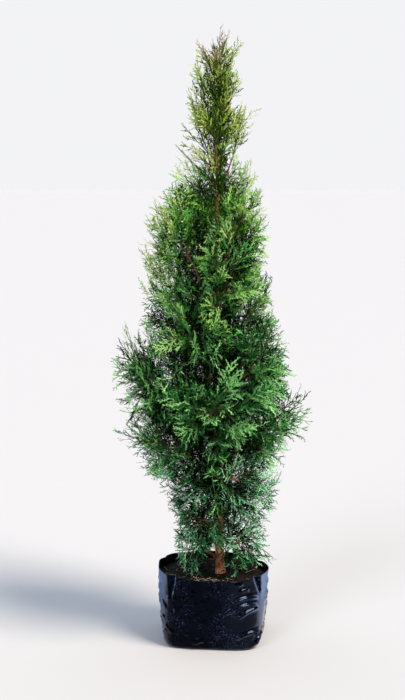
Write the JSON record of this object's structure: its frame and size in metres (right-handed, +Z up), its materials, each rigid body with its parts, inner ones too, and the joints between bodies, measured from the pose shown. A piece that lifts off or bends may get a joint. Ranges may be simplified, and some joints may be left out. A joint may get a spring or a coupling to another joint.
{
  "type": "potted emerald green arborvitae",
  "caption": "Young narrow evergreen conifer, flame shaped and clothed almost to the base in flat upright sprays, on a bare foot in a black film nursery bag filled with potting mix.",
  "frame": {"origin": "on the bag's flat underside, on the crown's upright middle line, which is also the middle of the bag's rim", "axes": "+Z up along the tree, +X to the right in the picture, +Y to the back"},
  "size_m": [0.4396, 0.4043, 1.3842],
  "materials": {
    "polythene": "glossy black polythene film, crinkled, with pale blue-white reflections",
    "potting_mix": "moist dark brown bark and peat crumbs with pale chips",
    "bark": "cinnamon brown scaly bark, matt",
    "foliage_low": "bluish green scale-leaved sprays, satin",
    "foliage_middle": "deep green scale-leaved sprays, satin",
    "foliage_high": "fresh green scale-leaved sprays, satin",
    "foliage_leader": "yellow-green scale-leaved sprays with tan tips, satin"
  },
  "bodies": {
    "root": {"planter_bag": "polythene", "potting_mix": "potting_mix", "trunk": "bark", "bough_01": "bark", "bough_02": "bark", "bough_03": "bark", "bough_04": "bark", "bough_05": "bark", "bough_06": "bark", "bough_07": "bark", "bough_08": "bark", "bough_09": "bark", "bough_10": "bark", "bough_11": "bark", "bough_12": "bark", "bough_13": "bark", "bough_14": "bark", "bough_15": "bark", "bough_16": "bark", "bough_17": "bark", "bough_18": "bark", "bough_19": "bark", "bough_20": "bark", "bough_21": "bark", "bough_22": "bark", "bough_23": "bark", "bough_24": "bark", "foliage_01": "foliage_low", "foliage_02": "foliage_low", "foliage_03": "foliage_low", "foliage_04": "foliage_low", "foliage_05": "foliage_low", "foliage_06": "foliage_low", "foliage_07": "foliage_low", "foliage_08": "foliage_low", "foliage_09": "foliage_middle", "foliage_10": "foliage_middle", "foliage_11": "foliage_middle", "foliage_12": "foliage_middle", "foliage_13": "foliage_middle", "foliage_14": "foliage_middle", "foliage_15": "foliage_middle", "foliage_16": "foliage_middle", "foliage_17": "foliage_high", "foliage_18": "foliage_high", "foliage_19": "foliage_high", "foliage_20": "foliage_high", "foliage_21": "foliage_high", "foliage_22": "foliage_high", "foliage_23": "foliage_high", "foliage_24": "foliage_high", "foliage_leader_1": "foliage_leader", "foliage_leader_2": "foliage_leader", "foliage_leader_3": "foliage_leader", "foliage_leader_4": "foliage_leader", "foliage_leader_5": "foliage_leader", "foliage_leader_6": "foliage_leader", "foliage_leader_tip": "foliage_leader"}
  },
  "joints": []
}
